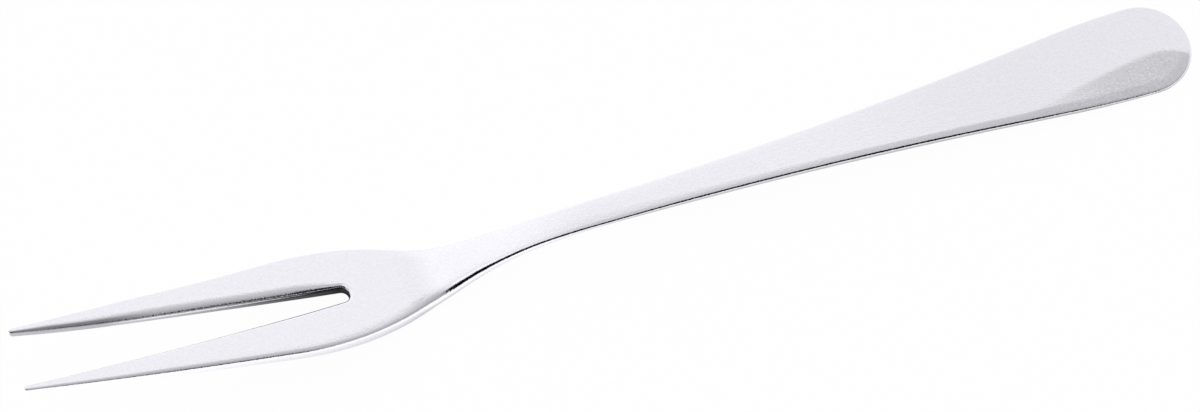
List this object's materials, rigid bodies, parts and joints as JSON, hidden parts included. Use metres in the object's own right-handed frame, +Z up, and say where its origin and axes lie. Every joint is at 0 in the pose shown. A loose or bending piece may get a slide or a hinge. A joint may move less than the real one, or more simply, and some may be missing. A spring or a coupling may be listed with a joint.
{
  "type": "snail fork",
  "caption": "Slim metal snail fork with long straight tapering tines around a wedge-shaped gap, a slim neck and a plain handle widening to a round end.",
  "frame": {"origin": "on the table under the middle of the fork's length", "axes": "+X along the fork from the tines to the handle's round end, +Y across it, +Z up, with the fork lying on its back"},
  "size_m": [0.15, 0.0132, 0.0128],
  "materials": {
    "fork": "polished stainless steel with a fine grain"
  },
  "bodies": {
    "root": {"fork": "fork"}
  },
  "joints": []
}
